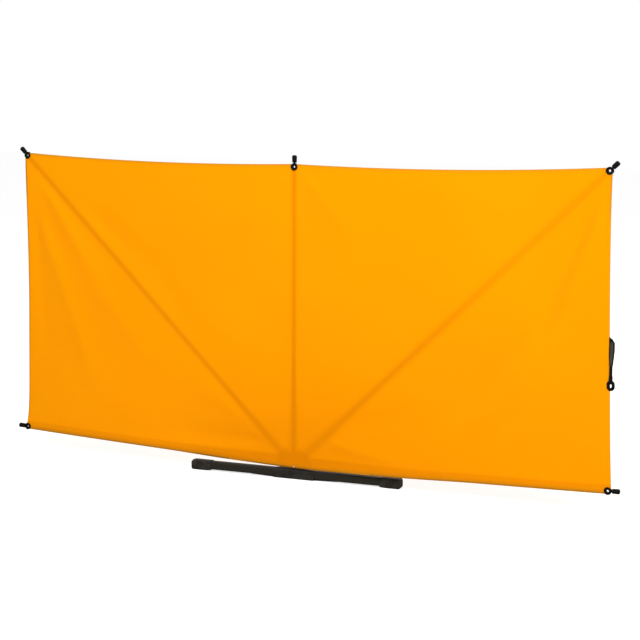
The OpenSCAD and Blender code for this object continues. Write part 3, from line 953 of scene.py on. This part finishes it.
# name, tilt, distance beside the pin and length of each swinging rib
SWING_RIBS = [
    ("diag", DIAG_TILT, RIB_OFFSET, math.sqrt((HIGH_EYE - PIN).xz.length ** 2 - RIB_OFFSET ** 2)),
    ("low", LOW_TILT, -RIB_OFFSET, math.sqrt((LOW_EYE - PIN).xz.length ** 2 - RIB_OFFSET ** 2)),
]
sleeves = [make_sleeve("centre", TOP_EYE.z - PIN.z, 0, math.pi / 2)]
for side in ("left", "right"):
    for kind, tilt, offset, length in SWING_RIBS:
        sleeves.append(make_sleeve(side + "_" + kind, length, offset, tilt))
print("sleeves:", [s.name for s in sleeves])

# %% [markdown]
# ## Side strap
#
# The strap is flat webbing that is sewn to the sheet's edge. It narrows lower down
# because the ring gathers it, so the same width is rolled into a gutter there. The strip
# is a grid that runs down from the edge, under the ring's upper bar and a little way up
# behind it. The weave follows two numbers kept on each point, for the ways across and
# along.

# %% Sew the strap
STRAP_TOP = 0.830
STRAP_X = side_at(1, STRAP_TOP)
# the strap swings as the sheet's edge does at this distance below the strap's top
SWINGS_AT = 0.045
DEEPEST, CREASE = 0.0055, 0.0005
RING = Vector((STRAP_X + 0.009, -0.0161, 0.607))
RING_WIDTH, RING_HEIGHT, RING_BAND, RING_THICK = 0.038, 0.050, 0.0152, 0.0028
WEBBING_WIDTH = 0.024
# how far along the strap, its left edge, its right edge and its depth
STRAP_STATIONS = [
    (0.000, -0.002, 0.001, -0.0154), (0.013, -0.002, 0.016, -0.0156),
    (0.027, -0.002, 0.024, -0.0160), (0.057, -0.002, 0.0245, -0.0162),
    (0.083, -0.002, 0.0225, -0.0164), (0.116, 0.000, 0.019, -0.0168),
    (0.140, 0.002, 0.0155, -0.0172), (0.170, 0.002, 0.0155, -0.0178),
    (0.190, 0.0005, 0.0175, -0.0186), (0.209, 0.001, 0.0175, -0.0190),
    (0.218, 0.006, 0.0165, -0.0190), (0.240, 0.006, 0.0165, -0.0190),
]
WRAP_Z = RING.z + RING_HEIGHT / 2 - RING_BAND - 0.0006
WRAP_R = RING.y - STRAP_STATIONS[-1][3]


def strap_station(along):
    for first, second in zip(STRAP_STATIONS, STRAP_STATIONS[1:]):
        if along <= second[0]:
            share = ease(along, first[0], second[0])
            return [a + (b - a) * share for a, b in zip(first, second)][1:]
    return STRAP_STATIONS[-1][1:]


def strap_place(along, share):
    """A point on the strap: down the front, round the ring's upper bar and up behind."""
    left, right, depth = strap_station(along)
    chord = right - left
    front = STRAP_TOP - WRAP_Z
    turn = min(math.pi, max(0, (along - front) / WRAP_R))
    up = STRAP_TOP - min(along, front) - WRAP_R * math.sin(turn)
    up += max(0, along - front - math.pi * WRAP_R)
    gutter = math.sqrt(0.375 * chord * max(0, WEBBING_WIDTH - chord)) * ease(along, 0.06, 0.12)
    gutter = min(DEEPEST, gutter) * (1 - ease(along, front - 0.02, front - 0.004))
    crease = CREASE * math.sin(share * 19) * ease(along, 0.11, 0.15) * (1 - ease(along, 0.18, 0.2))
    depth += WRAP_R * (1 - math.cos(turn)) - gutter * 4 * share * (1 - share) + crease
    return Vector((STRAP_X + left + chord * share, depth, up))


STRIPE_AT, TWILL_PITCH, CORDS, WEBBING_SKIN = 0.47, 0.0018, 14, 0.00022
WEBBING_COLOUR, STRIPE_COLOUR = (0.0022, 0.002, 0.0018), (0.052, 0.05, 0.033)


def striped_webbing():
    finish, tree, surface = new_finish("strap_webbing", 0.8, Specular_IOR_Level=0.1, Sheen_Weight=0.04)
    across, along = reading(tree, "strap_across"), reading(tree, "strap_along")
    off = abs(across - STRIPE_AT)
    stripe = off.ramp(0.29, 0.22) * along.ramp(0.014, 0.034) * along.ramp(0.145, 0.11)
    paint(surface, stripe, WEBBING_COLOUR, STRIPE_COLOUR)
    twill = (along + off * 0.012).wave(TWILL_PITCH)
    bump(surface, twill + across.wave(1 / CORDS) * 0.6, WEBBING_SKIN)
    return finish


bm = bmesh.new()
bmesh.ops.create_grid(bm, x_segments=18, y_segments=120, size=1)
across_layer, along_layer = keep_numbers(bm, "strap_across", "strap_along")
for v in bm.verts:
    share, along = (v.co.x + 1) / 2, (1 - v.co.y) / 2 * STRAP_STATIONS[-1][0]
    v[across_layer], v[along_layer] = share, along
    v.co = strap_place(along, share)
bmesh.ops.recalc_face_normals(bm, faces=bm.faces)
webbing_area = sum(f.calc_area() for f in bm.faces)
strap = give_thickness(finish_mesh("edge_strap", bm, striped_webbing()), 0.0013, 0)
print("strap area:", round(webbing_area * 1e6), "square mm")

# %% [markdown]
# ## Ring on the strap
#
# The ring is a moulded oval. Its section is spun half a turn at the upper end, run
# straight down, spun half a turn at the lower end and run back up. The strap and the
# ring hang at one place of the sheet's edge, and the share of the lower arm's swing at
# that place is worked out.

# %% Spin the ring and work out the swing where both hang
bm = bmesh.new()
bmesh.ops.create_circle(bm, segments=20, radius=1)
for v in bm.verts:
    v.co.x = RING_WIDTH / 2 - RING_BAND / 2 * (1 - v.co.x)
    v.co.y *= RING_THICK / 2
half_run = (RING_HEIGHT - RING_WIDTH) / 2
bmesh.ops.translate(bm, verts=bm.verts, vec=(0, 0, half_run))
section = list(bm.verts) + list(bm.edges)
for end in (1, -1):
    spun = bmesh.ops.spin(bm, geom=section, cent=(0, 0, end * half_run), axis=(0, 1, 0), dvec=(0, 0, 0),
                          angle=-math.pi, steps=28, use_merge=False, use_duplicate=False)["geom_last"]
    last = inner_edges(spun, points_of(spun))
    moved = points_of(bmesh.ops.extrude_edge_only(bm, edges=last)["geom"])
    bmesh.ops.translate(bm, verts=moved, vec=(0, 0, -2 * end * half_run))
    section = moved + inner_edges(bm.edges, moved)
bmesh.ops.remove_doubles(bm, verts=bm.verts, dist=1e-5)
bmesh.ops.recalc_face_normals(bm, faces=bm.faces)
bmesh.ops.translate(bm, verts=bm.verts, vec=RING)
ring = finish_mesh("edge_ring", bm, TIP_NYLON)

hang = swing_share(Vector((STRAP_X, 0, STRAP_TOP - SWINGS_AT)), DIAG_UNDER, LOW)
for piece, node, slot in ((strap, "side_strap", "webbing"), (ring, "strap_ring", "tip_moulding")):
    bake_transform(piece)
    [hang] * len(piece.data.vertices)
    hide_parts(node)
print("the strap takes", round(hang, 2), "of the lower arm's swing")

# %% [markdown]
# ## Fasteners
#
# Small metal parts show how the frame is put together. Each head is one flat cone with
# its upper edge bevelled, and a screw has a hollow in the middle. A ray is shot at the
# construction part from behind, so a head sits on the real surface, wherever that is.

# %% Helpers for rivets and screws
# a head is sunk this far into its part, and its top is this share of its foot
SUNK, TAPER, BEHIND_ALL = 0.0002, 0.72, 0.3


def seat(node, across, up):
    """The place where a ray from behind meets a construction part."""
    start = Vector((across, BEHIND_ALL, up))
    hit, place, _, _ = frame["nodes"][node].ray_cast(start, Vector((0, -1, 0)))
    assert hit, node
    return place - Vector((0, SUNK, 0))


def add_head(bm, place, radius, height, hollow=0.0, facing=1):
    """A fastener's head that stands on a place and faces the back or the front."""
    turn = Matrix.Rotation(-facing * math.pi / 2, 4, "X")
    stand = Matrix.Translation(place + Vector((0, facing * height / 2, 0)))
    made = bmesh.ops.create_cone(bm, cap_ends=True, segments=24, radius1=radius, radius2=radius * TAPER,
                                 depth=height, matrix=stand @ turn)["verts"]
    faces = {f for v in made for f in v.link_faces}
    top = max(faces, key=lambda f: facing * f.calc_center_median().y)
    rim = list(top.edges)
    if hollow:
        bmesh.ops.inset_region(bm, faces=[top], thickness=radius * (TAPER - hollow))
        bmesh.ops.inset_region(bm, faces=[top], thickness=radius * 0.04, depth=-height * 0.55)
    bmesh.ops.bevel(bm, geom=rim, offset=height * 0.3, segments=3, profile=0.5, material=-1, affect="EDGES")


def finish_fasteners(name, bm, body):
    bmesh.ops.recalc_face_normals(bm, faces=bm.faces)
    heads = finish_mesh(name, bm, PIN_STEEL)
    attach(heads, body)
    return heads


# %% [markdown]
# ## Rivets, screws and clips
#
# Two screws hold the hub's plates to the saddle's core, and a rivet holds the middle rib
# in its socket. Every swinging rib is riveted once in its socket, just outside the
# plates, and once at its eye.

# %% Put the fasteners on
SCREW_R, RIVET_R, SOCKET_R, EYE_R = 0.0042, 0.0034, 0.0028, 0.0024
SCREW_HIGH, RIVET_HIGH, SCREW_HOLLOW = 0.0022, 0.0012, 0.4
SCREW_X, SCREW_Z, RIVET_UP = 0.024, 0.070, 0.034
# how far a rivet lies from the pin, and how far before the eye
SOCKET_RIVET, EYE_RIVET = 0.068, 0.047
bm = bmesh.new()
for across in (-SCREW_X, SCREW_X):
    add_head(bm, seat("hub_back_plate", across, SCREW_Z), SCREW_R, SCREW_HIGH, SCREW_HOLLOW)
add_head(bm, seat("hub_back_plate", 0.0, PIN.z + RIVET_UP), RIVET_R, SCREW_HIGH)
add_head(bm, seat("centre_eye", 0, TOP_EYE.z - EYE_RIVET), EYE_R, RIVET_HIGH)
heads = [finish_fasteners("hub_screws", bm, "root")]
for side, word in ((-1, "left"), (1, "right")):
    for (kind, tilt, offset, length), joint in zip(SWING_RIBS, ("knuckle", "fork")):
        bm = bmesh.new()
        rib = word + "_" + kind
        for node, along, radius in ((joint, SOCKET_RIVET, SOCKET_R), ("eye", length - EYE_RIVET, EYE_R)):
            across = PIN.x + along * math.cos(tilt) - offset * math.sin(tilt)
            up = PIN.z + along * math.sin(tilt) + offset * math.cos(tilt)
            add_head(bm, seat(rib + "_" + node, side * across, up), radius, RIVET_HIGH)
        heads.append(finish_fasteners(rib + "_rivets", bm, rib + "_arm"))
print("fastener heads:", [h.name for h in heads])

# %% [markdown]
# ## Clips on the hinge pins
#
# A clip is a flat washer, spun from a small rectangle round the pin's axis. It stays
# with the hub.

# %% Spin the clips and set the press stud
CLIP_R, CLIP_WIDE, CLIP_THICK = 0.0054, 0.0024, 0.0010
# the ray for a clip's seat passes this far from the pin's axis
CLIP_SEAT, CLIP_LIFT = 0.0065, 0.0006
STUD_R, STUD_HIGH, STUD_HOLLOW, STUD_UP = 0.0046, 0.0018, 0.3, 0.0065
bm = bmesh.new()
for side in (-1, 1):
    back = seat("hub_back_plate", side * (PIN.x + CLIP_SEAT), PIN.z).y
    wall = bmesh.ops.create_grid(bm, x_segments=1, y_segments=1, size=0.5)["verts"]
    for v in wall:
        v.co = Vector((CLIP_R + v.co.x * CLIP_WIDE, v.co.y * CLIP_THICK, 0))
    bmesh.ops.translate(bm, verts=wall, vec=(side * PIN.x, back + CLIP_LIFT, PIN.z))
    outline = list(wall) + list({e for v in wall for e in v.link_edges})
    bmesh.ops.delete(bm, geom=list({f for v in wall for f in v.link_faces}), context="FACES_ONLY")
    bmesh.ops.spin(bm, geom=outline, cent=(side * PIN.x, 0, PIN.z), axis=(0, 1, 0), dvec=(0, 0, 0),
                   angle=2 * math.pi, steps=36, use_merge=True, use_duplicate=False)
clips = finish_fasteners("pin_clips", bm, "root")
bm = bmesh.new()
stud_place = Vector((0, CLOTH_FRONT + SUNK, bottom_edge(0) + STUD_UP))
add_head(bm, stud_place, STUD_R, STUD_HIGH, STUD_HOLLOW, -1)
stud = finish_fasteners("hem_stud", bm, "root")
print("made:", clips.name, stud.name)
